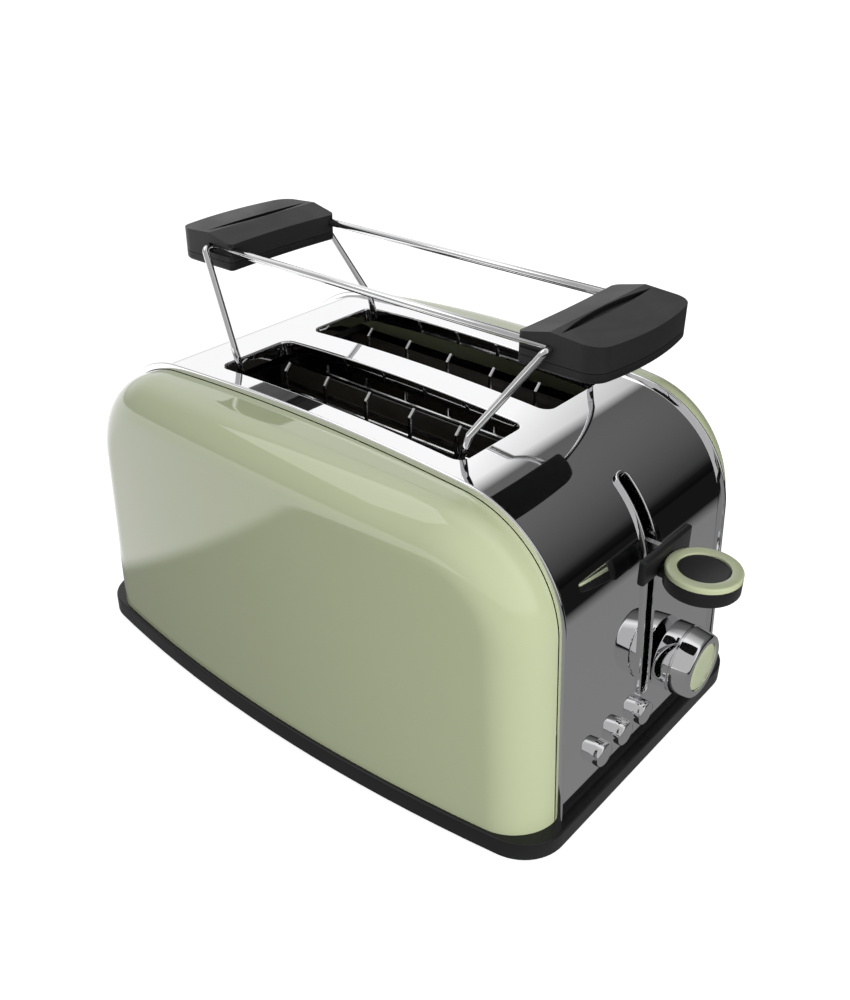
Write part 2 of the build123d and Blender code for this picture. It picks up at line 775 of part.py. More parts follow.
with BuildPart() as rack_handle_right_top:
    with BuildSketch(Plane.XZ):
        with BuildLine():
            Polyline(
                (rack_x + handle_inner - 1, handle_split),
                (rack_x + handle_inner - 1, handle_inner_top),
                (rack_x + handle_ridge, handle_ridge_top),
                (rack_x + handle_outer + handle_bulge + 1, handle_outer_top),
                (rack_x + handle_outer + handle_bulge + 1, handle_split),
                close=True,
            )
        make_face()
    extrude(amount=handle_half + 1, both=True)
    with BuildSketch(Plane.XY.offset(handle_split)):
        add(handle_plan())
    extrude(amount=handle_ridge_top - handle_split, mode=Mode.INTERSECT)
    # Lens-shaped groove beside the ridge
    with BuildSketch(Plane.XY.offset(handle_ridge_top - groove_depth)):
        x = rack_x + handle_ridge + groove_half + 0.6
        with BuildLine():
            ThreePointArc((x, -handle_half + 2), (x - groove_half, 0), (x, handle_half - 2))
            ThreePointArc((x, handle_half - 2), (x + groove_half / 2, 0), (x, -handle_half + 2))
        make_face()
    extrude(amount=groove_depth + 1, mode=Mode.SUBTRACT)
    for y in (-rail_y, rail_y):
        x_disc(rack_x + handle_inner - 2, y, rail_z, rail_radius + 0.02, rail_grip + 2.1, Mode.SUBTRACT)
    with BuildSketch(Plane.XZ):
        with Locations((rack_x + axle_x, rail_z)):
            Circle(leg_radius + running_gap)
    extrude(amount=handle_half + 2, both=True, mode=Mode.SUBTRACT)
    # Recess in each side for the folded leg
    for side in (-1, 1):
        near, far = sorted((side * (handle_half - 1.0), side * (handle_half + 1)))
        slab(
            (rack_x + handle_inner - 3, near, rail_z - leg_radius - 0.6),
            (rack_x + axle_x, far, rail_z + leg_radius + 0.6),
            Mode.SUBTRACT,
        )
save(rack_handle_right_top, "rack_handle_right_top")

with BuildPart() as rack_handle_left_top:
    mirror(rack_handle_right_top.part, about=Plane.YZ.offset(rack_x))
save(rack_handle_left_top, "rack_handle_left_top")

with BuildPart() as rack_handle_right_bottom:
    with BuildSketch(Plane.XY.offset(handle_bottom)):
        add(handle_plan())
    extrude(amount=handle_split - handle_bottom - seam)
    fillet(rack_handle_right_bottom.faces().sort_by(Axis.Z)[0].edges(), 1.4)
save(rack_handle_right_bottom, "rack_handle_right_bottom")

with BuildPart() as rack_handle_left_bottom:
    mirror(rack_handle_right_bottom.part, about=Plane.YZ.offset(rack_x))
save(rack_handle_left_bottom, "rack_handle_left_bottom")

with BuildPart() as rack_rails:
    rail_end = handle_inner + rail_grip - 0.1
    for y in (-rail_y, rail_y):
        x_disc(rack_x - rail_end, y, rail_z, rail_radius, 2 * rail_end)
save(rack_rails, "rack_rails")

with BuildPart() as rack_legs_right:
    axle = rack_x + axle_x
    knee = axle - leg_knee_in
    foot = axle - leg_foot_in
    side_y = handle_half + leg_stand
    with BuildLine():
        FilletPolyline(
            (foot, -leg_foot_y, leg_foot_z),
            (knee, -leg_foot_y, leg_knee_z),
            (axle, -side_y, rail_z),
            (axle, side_y, rail_z),
            (knee, leg_foot_y, leg_knee_z),
            (foot, leg_foot_y, leg_foot_z),
            radius=2.4,
        )
    start = Vector(foot, -leg_foot_y, leg_foot_z)
    with BuildSketch(Plane(origin=start, z_dir=Vector(knee, -leg_foot_y, leg_knee_z) - start)):
        Circle(leg_radius)
    sweep()
save(rack_legs_right, "rack_legs_right")

with BuildPart() as rack_legs_left:
    mirror(rack_legs_right.part, about=Plane.YZ.offset(rack_x))
save(rack_legs_left, "rack_legs_left")
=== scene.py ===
"""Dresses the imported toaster: smooth outer pieces, procedural materials, studio and camera.

Lengths are in millimetres about the plinth's centre, and piece() turns them into the frame.
"""

from math import acos, asin, atan, cos, hypot, pi, radians, sin, sqrt

import bmesh
import bpy
from mathutils import Matrix, Vector


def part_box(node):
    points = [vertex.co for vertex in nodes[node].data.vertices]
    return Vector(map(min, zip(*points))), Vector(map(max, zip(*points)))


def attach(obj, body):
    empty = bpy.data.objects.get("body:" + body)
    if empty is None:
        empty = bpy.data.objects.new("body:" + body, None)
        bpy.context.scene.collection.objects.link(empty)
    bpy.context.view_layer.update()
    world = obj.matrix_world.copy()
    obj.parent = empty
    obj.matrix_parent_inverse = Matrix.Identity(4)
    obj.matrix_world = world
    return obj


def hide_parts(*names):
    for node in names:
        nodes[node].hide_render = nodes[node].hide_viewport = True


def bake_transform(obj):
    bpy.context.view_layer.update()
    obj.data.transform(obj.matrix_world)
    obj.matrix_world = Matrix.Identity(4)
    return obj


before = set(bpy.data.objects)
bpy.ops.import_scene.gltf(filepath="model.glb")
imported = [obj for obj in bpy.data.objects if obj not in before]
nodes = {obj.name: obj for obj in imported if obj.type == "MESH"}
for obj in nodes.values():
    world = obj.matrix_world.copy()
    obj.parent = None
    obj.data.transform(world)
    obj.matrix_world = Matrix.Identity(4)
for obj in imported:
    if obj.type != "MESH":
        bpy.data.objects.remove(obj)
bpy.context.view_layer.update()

MIDDLE_X = 13.3  # from the plinth's centre to the frame's origin

# Body sizes, as in the part's source
LEDGE_Z, WRAP_Z, CROWN_Z = 10.5, 13.5, 144.4
CROWN_R, SHOULDER_R, TAPER = 1071.0, 49.0, 0.062
HALF_LENGTH, HALF_WIDTH = 129.8, 61.0
RIM_HIGH, RIM_WIDE = 1.8, 1.3
SLOT_X, SLOT_Y, SLOT_CORNER = (-64.7, 68.3), (8.1, 48.1), 5.0
SLOT_ROLL = 0.8
LEVER_HALF, LEVER_Z = 3.0, (36.0, 130.5)
PANEL_INSET, PANEL_EDGE, PANEL_HALF, PANEL_BOW = 1.2, 18.0, 90.1, 735.0
PANEL_SEAM = 0.25

# Side view of the body: crown arc, shoulder arc, leaning end
LEAN = atan(TAPER)
END_REACH = HALF_LENGTH * cos(LEAN) + WRAP_Z * sin(LEAN)
TURN = LEAN + acos(
    (END_REACH - SHOULDER_R - (CROWN_Z - CROWN_R) * sin(LEAN)) / (CROWN_R - SHOULDER_R)
)
CROWN = (0.0, CROWN_Z - CROWN_R)
SHOULDER = (
    (CROWN_R - SHOULDER_R) * cos(TURN),
    CROWN_Z - CROWN_R + (CROWN_R - SHOULDER_R) * sin(TURN),
)
CROWN_END = CROWN_R * (pi / 2 - TURN)
SHOULDER_END = CROWN_END + SHOULDER_R * (TURN - LEAN)


def arch(s, off=0.0):
    """Point (x, z) and normal of the body's side view at a run s from the crown's middle."""
    side, run = (1 if s >= 0 else -1), abs(s)
    if run <= CROWN_END:
        turn, centre, radius = pi / 2 - run / CROWN_R, CROWN, CROWN_R
    elif run <= SHOULDER_END:
        turn, centre, radius = TURN - (run - CROWN_END) / SHOULDER_R, SHOULDER, SHOULDER_R
    else:
        turn, centre, radius = LEAN, SHOULDER, SHOULDER_R
    down = max(0.0, run - SHOULDER_END)
    x = centre[0] + (radius + off) * cos(turn) + down * sin(LEAN)
    z = centre[1] + (radius + off) * sin(turn) - down * cos(LEAN)
    return side * x, z, side * cos(turn), sin(turn)


def run_at_x(x):
    """Run of a place on the crown."""
    return CROWN_R * asin(x / CROWN_R)


def run_at_z(z, off=0.0):
    """Run of a height on the right shoulder or end."""
    rise = (z - SHOULDER[1]) / (SHOULDER_R + off)
    if rise > sin(LEAN):
        return CROWN_END + SHOULDER_R * (TURN - asin(rise))
    return SHOULDER_END + (SHOULDER[1] + (SHOULDER_R + off) * sin(LEAN) - z) / cos(LEAN)


def end_x(z):
    """Distance from the middle to the leaning end at a height."""
    return HALF_LENGTH - TAPER * (z - WRAP_Z)


def spread(low, high, count):
    """Evenly spaced values, both ends included."""
    return [low + (high - low) * n / count for n in range(count + 1)]


def runs_to(foot, end_steps, shoulder_steps, crown_steps):
    """Runs from foot to foot over both ends, both shoulders and the crown."""
    stops = [-foot, -SHOULDER_END, -CROWN_END, CROWN_END, SHOULDER_END, foot]
    steps = [end_steps, shoulder_steps, crown_steps, shoulder_steps, end_steps]
    runs = [-foot]
    for low, high, count in zip(stops, stops[1:], steps):
        runs += spread(low, high, count)[1:]
    return runs


# Mesh helpers
def in_frame(x, y, z):
    """Point in the frame, in metres."""
    return (x - MIDDLE_X) / 1000, y / 1000, z / 1000


def piece(name, points, faces, body="housing", stands_for=(), slot=None, normals=None):
    """Smooth mesh object that rides on a body, or on none."""
    mesh = bpy.data.meshes.new(name)
    mesh.from_pydata([in_frame(*point) for point in points], [], faces)
    mesh.validate()
    mesh.polygons.foreach_set("use_smooth", [True] * len(mesh.polygons))
    if normals:
        mesh.normals_split_custom_set_from_vertices([Vector(n).normalized() for n in normals])
    obj = bpy.data.objects.new(name, mesh)
    bpy.context.scene.collection.objects.link(obj)
    if body:
        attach(obj, body)
    if stands_for:
        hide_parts(*stands_for)
    return obj


def grid_faces(rows, cols, around=False):
    """Quads over a grid of rows by cols points, joined round the columns if asked."""
    faces = []
    for i in range(rows - 1):
        for j in range(cols if around else cols - 1):
            k = (j + 1) % cols
            faces.append((i * cols + j, i * cols + k, (i + 1) * cols + k, (i + 1) * cols + j))
    return faces


def facing_out(obj, side=None):
    """Turns the faces outwards, and those of an open shell towards a side in Y."""
    shape = bmesh.new()
    shape.from_mesh(obj.data)
    bmesh.ops.recalc_face_normals(shape, faces=shape.faces)
    if side and sum(face.normal.y for face in shape.faces) * side < 0:
        bmesh.ops.reverse_faces(shape, faces=shape.faces)
    shape.to_mesh(obj.data)
    shape.free()
    return obj


def crease(obj, angle=35):
    """Keeps edges sharper than an angle crisp."""
    obj.data.set_sharp_from_angle(angle=radians(angle))
    return obj


def lathe(name, profile, centre, along, **facts):
    """Turned piece: profile of (distance along the axis, radius) pairs about +X or +Z."""
    count = 96
    points = []
    for far, radius in profile:
        for n in range(count):
            a, b = radius * cos(2 * pi * n / count), radius * sin(2 * pi * n / count)
            offset = (far, a, b) if along == "X" else (a, b, far)
            points.append(tuple(c + o for c, o in zip(centre, offset)))
    faces = grid_faces(len(profile), count, around=True)
    for row in (0, len(profile) - 1):
        faces.append(tuple(row * count + n for n in range(count)))
    return crease(facing_out(piece(name, points, faces, **facts)))


def turned(start, end, share):
    """Start turned towards end by a share of the angle between them."""
    axis = start.cross(end).normalized()
    return Matrix.Rotation(start.angle(end) * share, 3, axis) @ start


def rounded_path(corners, radius, count=8):
    """Polyline with arcs in place of its inner corners."""
    path = [Vector(corners[0])]
    for before, at, after in zip(corners, corners[1:], corners[2:]):
        at = Vector(at)
        u, v = (Vector(before) - at).normalized(), (Vector(after) - at).normalized()
        half = u.angle(v) / 2
        reach = radius / sin(half) * cos(half)
        centre = at + (u + v).normalized() * radius / sin(half)
        start, end = at + u * reach - centre, at + v * reach - centre
        path += [centre + turned(start, end, n / count) for n in range(count + 1)]
    path.append(Vector(corners[-1]))
    return path


def tube(name, path, radius, **facts):
    """Round wire along a path, with softened flat ends."""
    sides, last = 20, len(path) - 1
    directions = [
        (path[min(n + 1, last)] - path[max(n - 1, 0)]).normalized() for n in range(len(path))
    ]
    across = directions[0].orthogonal().normalized()
    rings = []
    for place, ahead in zip(path, directions):
        across = (across - ahead * across.dot(ahead)).normalized()
        rings.append((place, across.copy(), ahead.cross(across), radius))
    soft = radius * 0.25
    first_end, last_end = rings[0], rings[-1]
    rings[0] = (first_end[0] + directions[0] * soft, *first_end[1:])
    rings[-1] = (last_end[0] - directions[-1] * soft, *last_end[1:])
    rings.insert(0, (*first_end[:3], radius - soft))
    rings.append((*last_end[:3], radius - soft))
    points = [
        tuple(place + u * r * cos(2 * pi * k / sides) + v * r * sin(2 * pi * k / sides))
        for place, u, v, r in rings
        for k in range(sides)
    ]
    faces = grid_faces(len(rings), sides, around=True)
    faces += [tuple(range(sides)), tuple(range(len(points) - sides, len(points)))]
    return crease(facing_out(piece(name, points, faces, **facts)), 50)


def rounded_block(name, low, high, radius, **facts):
    """Box with rounded edges."""
    shape = bmesh.new()
    bmesh.ops.create_cube(shape, size=1)
    for v in shape.verts:
        v.co = Vector((low[n] if v.co[n] < 0 else high[n]) for n in range(3))
    bmesh.ops.bevel(
        shape, geom=shape.edges[:], offset=radius, segments=4, profile=0.5, affect="EDGES"
    )
    points = [tuple(v.co) for v in shape.verts]
    faces = [tuple(v.index for v in f.verts) for f in shape.faces]
    shape.free()
    return facing_out(piece(name, points, faces, **facts))


# Node helpers
def noise(tree, place, scale, detail, distortion=0.0):
    """Noise value over a place."""
    node = tree.nodes.new("ShaderNodeTexNoise")
    node.inputs["Scale"].default_value = scale
    node.inputs["Detail"].default_value = detail
    node.inputs["Distortion"].default_value = distortion
    tree.links.new(place, node.inputs["Vector"])
    return node.outputs["Fac"]


def mapped(tree, value, low, high, start=0.0, end=1.0):
    """Value taken from low...high to start...end, and held there outside."""
    node = tree.nodes.new("ShaderNodeMapRange")
    for name, number in zip(("From Min", "From Max", "To Min", "To Max"), (low, high, start, end)):
        node.inputs[name].default_value = number
    tree.links.new(value, node.inputs["Value"])
    return node.outputs[0]


def mixed(tree, share, first, second):
    """Colour from first to second, each a socket or three numbers."""
    node = tree.nodes.new("ShaderNodeMix")
    node.data_type = "RGBA"
    tree.links.new(share, node.inputs["Factor"])
    for socket, colour in (("A", first), ("B", second)):
        if isinstance(colour, tuple):
            node.inputs[socket].default_value = (*colour, 1)
        else:
            tree.links.new(colour, node.inputs[socket])
    return node.outputs["Result"]


def grey_ramp(tree, value, stops):
    """Grey level that follows a value."""
    node = tree.nodes.new("ShaderNodeValToRGB")
    tree.links.new(value, node.inputs["Fac"])
    for n, (place, tone) in enumerate(stops):
        elements = node.color_ramp.elements
        stop = elements[n] if n < 2 else elements.new(place)
        stop.position, stop.color = place, (tone, tone, tone, 1)
    return node.outputs["Color"]


# Materials
def material(
    name,
    dark,
    light,
    rough,
    metallic=0.0,
    grain=60,
    stretch=(1, 1, 1),
    bump=0.02,
    fine=900,
    coat=0.0,
    wear=0.0,
    specular=0.5,
):
    """Surface whose colour and roughness drift, with fine relief and, if asked, worn edges."""
    look = bpy.data.materials.new(name)
    look.use_nodes = True
    tree = look.node_tree
    new, link = tree.nodes.new, tree.links.new
    shader = tree.nodes["Principled BSDF"]
    mapping = new("ShaderNodeMapping")
    mapping.inputs["Scale"].default_value = stretch
    link(new("ShaderNodeTexCoord").outputs["Object"], mapping.inputs["Vector"])
    place = mapping.outputs[0]
    colour = mixed(tree, noise(tree, place, grain, 5), dark, light)
    if wear:
        edge = new("ShaderNodeNewGeometry").outputs["Pointiness"]
        bare = tuple(min(1, c * 2 + 0.05) for c in light)
        colour = mixed(tree, mapped(tree, edge, 0.52, 0.62, 0.0, wear), colour, bare)
    link(colour, shader.inputs["Base Color"])
    smudge = noise(tree, place, grain * 0.6, 8, 0.6)
    link(mapped(tree, smudge, 0.35, 0.75, *rough), shader.inputs["Roughness"])
    rise = new("ShaderNodeBump")
    rise.inputs["Strength"].default_value = bump
    rise.inputs["Distance"].default_value = 0.0002
    link(noise(tree, place, fine, 3), rise.inputs["Height"])
    link(rise.outputs[0], shader.inputs["Normal"])
    shader.inputs["Metallic"].default_value = metallic
    shader.inputs["Coat Weight"].default_value = coat
    shader.inputs["Coat Roughness"].default_value = 0.02
    shader.inputs["Specular IOR Level"].default_value = specular
    return look


def dress(obj, look):
    """Gives one object's slots a material, on the object and not on its mesh."""
    if not obj.material_slots:
        obj.data.materials.append(None)
    for place in obj.material_slots:
        place.link = "OBJECT"
        place.material = look
    return obj


chrome = material(
    "polished_chrome_look",
    (0.91, 0.91, 0.92),
    (0.96, 0.96, 0.97),
    (0.012, 0.05),
    metallic=1.0,
    grain=25,
    bump=0.004,
    fine=300,
)
wire_chrome = material(
    "chrome_wire_look",
    (0.72, 0.72, 0.73),
    (0.86, 0.86, 0.87),
    (0.05, 0.14),
    metallic=1.0,
    grain=120,
)
green = material(
    "green_gloss_look",
    (0.435, 0.478, 0.300),
    (0.460, 0.503, 0.320),
    (0.05, 0.11),
    grain=14,
    bump=0.008,
    fine=500,
    coat=0.7,
)
black = material(
    "black_satin_look",
    (0.007, 0.007, 0.0075),
    (0.012, 0.012, 0.0125),
    (0.26, 0.42),
    bump=0.10,
    fine=1600,
    wear=0.10,
    specular=0.32,
)
charcoal = material(
    "charcoal_matt_look",
    (0.006, 0.006, 0.0065),
    (0.010, 0.010, 0.0105),
    (0.40, 0.55),
    bump=0.16,
    fine=2200,
    wear=0.12,
    specular=0.32,
)
rubber = material(
    "rubber_look",
    (0.012, 0.012, 0.012),
    (0.022, 0.021, 0.020),
    (0.7, 0.9),
    grain=90,
    bump=0.3,
    fine=1200,
)
zinc = material(
    "zinc_sheet_look",
    (0.36, 0.37, 0.38),
    (0.56, 0.57, 0.58),
    (0.22, 0.45),
    metallic=1.0,
    grain=45,
    bump=0.06,
    fine=700,
)
scorched = material(
    "scorched_zinc_look",
    (0.025, 0.025, 0.025),
    (0.07, 0.07, 0.07),
    (0.3, 0.55),
    metallic=1.0,
    grain=30,
    bump=0.06,
    fine=700,
)
mica = material(
    "mica_look",
    (0.018, 0.016, 0.013),
    (0.045, 0.038, 0.03),
    (0.32, 0.6),
    grain=70,
    stretch=(1, 1, 3),
    bump=0.2,
    fine=700,
)
nichrome = material(
    "ribbon_look",
    (0.30, 0.29, 0.28),
    (0.50, 0.48, 0.46),
    (0.3, 0.5),
    metallic=1.0,
    grain=200,
    bump=0.1,
)
guide_wire = material(
    "guide_wire_look",
    (0.62, 0.62, 0.62),
    (0.86, 0.86, 0.86),
    (0.12, 0.3),
    metallic=1.0,
    grain=160,
    bump=0.04,
)
copper = material(
    "copper_look",
    (0.42, 0.17, 0.08),
    (0.62, 0.27, 0.13),
    (0.25, 0.4),
    metallic=1.0,
    grain=300,
    stretch=(1, 1, 12),
    bump=0.3,
)
board = material(
    "board_look",
    (0.05, 0.13, 0.06),
    (0.08, 0.18, 0.09),
    (0.3, 0.5),
    grain=200,
    bump=0.08,
)

# Nodes that keep their solids
CAD_LOOKS = (
    (black, ("base_plinth", "crumb_tray")),
    (rubber, ("feet",)),
    (scorched, ("left_end_plate", "right_end_plate", "heat_shield_front", "heat_shield_rear")),
    (scorched, ("bread_rest_front", "bread_rest_rear")),
    (zinc, ("carriage", "carriage_rod", "browning_shaft", "base_screws")),
    (mica, ("heater_card_front", "heater_card_centre", "heater_card_rear")),
    (nichrome, ("heater_ribbons",)),
    (guide_wire, ("bread_guide_front_outer", "bread_guide_front_inner")),
    (guide_wire, ("bread_guide_rear_inner", "bread_guide_rear_outer")),
    (copper, ("electromagnet",)),
    (board, ("control_board",)),
    (charcoal, ("rack_handle_right_top", "rack_handle_left_top")),
    (charcoal, ("rack_handle_right_bottom", "rack_handle_left_bottom")),
)
for look, names in CAD_LOOKS:
    for name in names:
        dress(nodes[name], look)

SOFT_EDGES = {
    "rack_handle_right_top": 0.9,
    "rack_handle_left_top": 0.9,
    "rack_handle_right_bottom": 0.35,
    "rack_handle_left_bottom": 0.35,
    "base_plinth": 0.3,
    "crumb_tray": 0.3,
}
for name, width in SOFT_EDGES.items():
    soften = nodes[name].modifiers.new("soft_edges", "BEVEL")
    soften.width = width / 1000
    soften.segments = 3
    soften.limit_method = "ANGLE"
    soften.angle_limit = radians(40)
    soften.harden_normals = True


# Openings of the wrap, each as (run, run, y, y, corner)
def outline(hole):
    """Rounded outline of an opening in (run, y), with its straight stretches divided."""
    s0, s1, y0, y1, corner = hole
    arc_steps, gap = (10, 4.0) if corner > 4 else (8, 3.0)
    centres = (
        (s1 - corner, y1 - corner),
        (s0 + corner, y1 - corner),
        (s0 + corner, y0 + corner),
        (s1 - corner, y0 + corner),
    )
    arcs = []
    for quarter, (cs, cy) in enumerate(centres):
        for turn in spread(pi / 2 * quarter, pi / 2 * (quarter + 1), arc_steps):
            arcs.append((cs + corner * cos(turn), cy + corner * sin(turn)))
    points = []
    for (s, y), (next_s, next_y) in zip(arcs, arcs[1:] + arcs[:1]):
        ds, dy = next_s - s, next_y - y
        steps = max(1, int(max(abs(ds), abs(dy)) / gap))
        points += [(s + ds * n / steps, y + dy * n / steps) for n in range(steps)]
    return points


def moved_out(points, hole, outset):
    """Outline of an opening moved out, point for point."""
    s0, s1, y0, y1, corner = hole
    moved = []
    for s, y in points:
        cs = min(max(s, s0 + corner), s1 - corner)
        cy = min(max(y, y0 + corner), y1 - corner)
        ds, dy = s - cs, y - cy
        scale = (corner + outset) / (hypot(ds, dy) or 1.0)
        moved.append((cs + ds * scale, cy + dy * scale))
    return moved


def swept_loop(name, hole, section, **facts):
    """Section of (outset, height over the wrap) carried round an opening."""
    base = outline(hole)
    points = []
    for outset, height in section:
        for s, y in moved_out(base, hole, outset):
            x, z, *_ = arch(s, height)
            points.append((x, y, z))
    faces = grid_faces(len(section), len(base), around=True)
    return facing_out(piece(name, points, faces, **facts))


slot_runs = [run_at_x(x) for x in SLOT_X]
front_slot = (*slot_runs, -SLOT_Y[1], -SLOT_Y[0], SLOT_CORNER)
rear_slot = (*slot_runs, SLOT_Y[0], SLOT_Y[1], SLOT_CORNER)
lever_slot = (
    run_at_z(LEVER_Z[1]),
    run_at_z(LEVER_Z[0]),
    -LEVER_HALF,
    LEVER_HALF,
    LEVER_HALF - 0.1,
)


def widened(hole, by):
    """Opening that leaves room for a rolled edge."""
    s0, s1, y0, y1, corner = hole
    return s0 - by, s1 + by, y0 - by, y1 + by, corner + by


holes = [widened(front_slot, SLOT_ROLL), widened(rear_slot, SLOT_ROLL), lever_slot]


# Wrap: one sheet over the body with its openings
def cuts(low, high, gap, axis):
    """Grid lines that keep every opening's edges and the starts of its corners."""
    fixed, zones = {low, high}, []
    for hole in holes:
        a, b, corner = hole[2 * axis], hole[2 * axis + 1], hole[4]
        fixed.update((a, a + corner, b - corner, b))
        zones += [(a, a + corner), (b - corner, b)]
    even = spread(low, high, int((high - low) / gap))
    return sorted(fixed | {v for v in even if not any(a <= v <= b for a, b in zones)})


def corner_fan(hole, s0, s1, y0, y1):
    """Triangles between a cell's outer corner and the arc of the opening in it."""
    s, y = (s0 + s1) / 2, (y0 + y1) / 2
    outer = (s0 if s - hole[0] < hole[4] else s1, y0 if y - hole[2] < hole[4] else y1)
    centre = (s0 + s1 - outer[0], y0 + y1 - outer[1])
    ds, dy = outer[0] - centre[0], outer[1] - centre[1]
    arc = [(centre[0] + ds * cos(t), centre[1] + dy * sin(t)) for t in spread(0, pi / 2, 10)]
    return [(outer, a, b) for a, b in zip(arc, arc[1:])]


def sheet_cells():
    """Faces of the wrap as tuples of (run, y)."""
    foot = run_at_z(WRAP_Z)
    edge = HALF_WIDTH - RIM_WIDE
    rows, cols = cuts(-foot, foot, 2.2, 0), cuts(-edge, edge, 4.0, 1)
    cells = []
    for s0, s1 in zip(rows, rows[1:]):
        for y0, y1 in zip(cols, cols[1:]):
            s, y = (s0 + s1) / 2, (y0 + y1) / 2
            hole = next((h for h in holes if h[0] < s < h[1] and h[2] < y < h[3]), None)
            if not hole:
                cells.append(((s0, y0), (s1, y0), (s1, y1), (s0, y1)))
                continue
            corner = hole[4]
            in_corner = (
                min(s - hole[0], hole[1] - s) < corner and min(y - hole[2], hole[3] - y) < corner
            )
            if in_corner and min(s1 - s0, y1 - y0) >= corner - 1e-6:
                cells += corner_fan(hole, s0, s1, y0, y1)
    return cells


def wrap_sheet():
    """The wrap's outer face, with the arch's own normals."""
    points, normals, faces, index = [], [], [], {}
    for cell in sheet_cells():
        face = []
        for s, y in cell:
            key = (round(s, 4), round(y, 4))
            if key not in index:
                x, z, nx, nz = arch(s)
                index[key] = len(points)
                points.append((x, y, z))
                normals.append((nx, 0, nz))
            face.append(index[key])
        a, b, c = (Vector(points[n]) for n in face[:3])
        if (b - a).cross(c - a).dot(Vector(normals[face[0]])) < 0:
            face.reverse()
        faces.append(face)
    return piece(
        "wrap_sheet",
        points,
        faces,
        stands_for=("chrome_wrap",),
        slot="polished_chrome",
        normals=normals,
    )


dress(wrap_sheet(), chrome)

COLLAR_SECTION = [
    (SLOT_ROLL - SLOT_ROLL * sin(t), -SLOT_ROLL + SLOT_ROLL * cos(t)) for t in spread(0, pi / 2, 6)
] + [(0.0, -3.5), (0.0, -6.5)]
for name, hole in (("slot_collar_front", front_slot), ("slot_collar_rear", rear_slot)):
    dress(swept_loop(name, hole, COLLAR_SECTION, slot="polished_chrome"), chrome)

LIP_SECTION = [
    (0.0, -1.2),
    (0.0, 1.0),
    (0.12, 1.32),
    (0.4, 1.48),
    (0.8, 1.48),
    (1.08, 1.32),
    (1.2, 1.0),
    (1.2, -0.2),
]
dress(swept_loop("lever_slot_lip", lever_slot, LIP_SECTION, slot="polished_chrome"), chrome)

# Standing rims along both edges of the wrap, by (height, place across the rim)
RIM_SECTION = [
    (-0.9, 0.0),
    (1.3, 0.0),
    (1.65, 0.15),
    (RIM_HIGH, 0.45),
    (RIM_HIGH, 0.85),
    (1.65, 1.15),
    (1.3, RIM_WIDE),
    (-0.9, RIM_WIDE),
]
for name, side in (("rim_front", -1), ("rim_rear", 1)):
    runs = runs_to(run_at_z(LEDGE_Z), 4, 40, 60)
    points = []
    for s in runs:
        for height, across in RIM_SECTION:
            x, z, *_ = arch(s, height)
            points.append((x, side * (HALF_WIDTH - RIM_WIDE + across), z))
    faces = grid_faces(len(runs), len(RIM_SECTION), around=True)
    rim = piece(name, points, faces, slot="polished_chrome")
    dress(crease(facing_out(rim), 60), chrome)


# Side panels: rounded edge and bowed face
def bow(x):
    """Half width of the bowed plan."""
    return PANEL_HALF - PANEL_BOW + sqrt(PANEL_BOW**2 - x * x)


def side_panel(name, side, node):
    """Panel in rings: its seam, its rounded edge and its face down to the ledge's middle."""
    foot = run_at_z(LEDGE_Z, -PANEL_INSET)
    runs = runs_to(foot, 24, 48, 60)

    rings = []
    for turn in spread(0, pi / 2, 22):
        inset, back = PANEL_EDGE * (1 - cos(turn)), PANEL_EDGE * (1 - sin(turn))
        ring = []
        for s in runs:
            x, z, *_ = arch(s, -PANEL_INSET - inset)
            z = max(z, LEDGE_Z) if abs(s) < foot - 0.01 else LEDGE_Z
            ring.append((x, side * (bow(x) - back), z))
        rings.append(ring)
    rings.insert(0, [(x, side * (HALF_WIDTH + PANEL_SEAM), z) for x, _, z in rings[0]])
    border = rings[-1]
    for share in spread(0, 1, 40)[1:-1]:
        ring = []
        for x, _, z in border:
            x, z = x * (1 - share), LEDGE_Z + (z - LEDGE_Z) * (1 - share)
            ring.append((x, side * bow(x), z))
        rings.append(ring)
    points = [point for ring in rings for point in ring]
    tip, count = len(points), len(runs)
    points.append((0.0, side * PANEL_HALF, LEDGE_Z))
    faces = grid_faces(len(rings), count)
    faces += [(tip - count + j, tip - count + j + 1, tip) for j in range(count - 1)]
    panel = piece(name, points, faces, stands_for=(node,), slot="green_gloss")
    return facing_out(panel, side)


dress(side_panel("panel_front", -1, "front_side_panel"), green)
dress(side_panel("panel_rear", 1, "rear_side_panel"), green)

# Lever: bar, neck, pad with its coloured ring
DISC_X, DISC_R = 146.4, 14.5
bar = rounded_block(
    "lever_bar",
    (128.6, -18, 99),
    (131.8, 18, 110),
    1.1,
    body="carriage",
    stands_for=("lever_grip",),
    slot="black_plastic",
)
neck = rounded_block(
    "lever_neck",
    (130.4, -6, 97.6),
    (DISC_X, 6, 103.4),
    0.8,
    body="carriage",
    slot="black_plastic",
)
PAD_PROFILE = [
    (96.6, 12.6),
    (96.75, 13.4),
    (97.2, 14.1),
    (97.8, DISC_R),
    (103.3, DISC_R),
    (103.35, 9.9),
    (104.7, 9.8),
    (104.9, 9.6),
    (104.6, 9.0),
    (104.3, 8.0),
]
pad = lathe("lever_pad", PAD_PROFILE, (DISC_X, 0, 0), "Z", body="carriage", slot="black_plastic")
BAND_PROFILE = [
    (103.4, 9.95),
    (105.3, 9.95),
    (105.5, 10.05),
    (105.6, 10.3),
    (105.6, 13.7),
    (105.52, 14.1),
    (105.3, 14.35),
    (105.0, DISC_R),
    (103.4, DISC_R),
]
band = lathe(
    "lever_band",
    BAND_PROFILE,
    (DISC_X, 0, 0),
    "Z",
    body="carriage",
    stands_for=("lever_ring",),
    slot="green_gloss",
)
for obj in (bar, neck, pad):
    dress(obj, black)
dress(band, green)

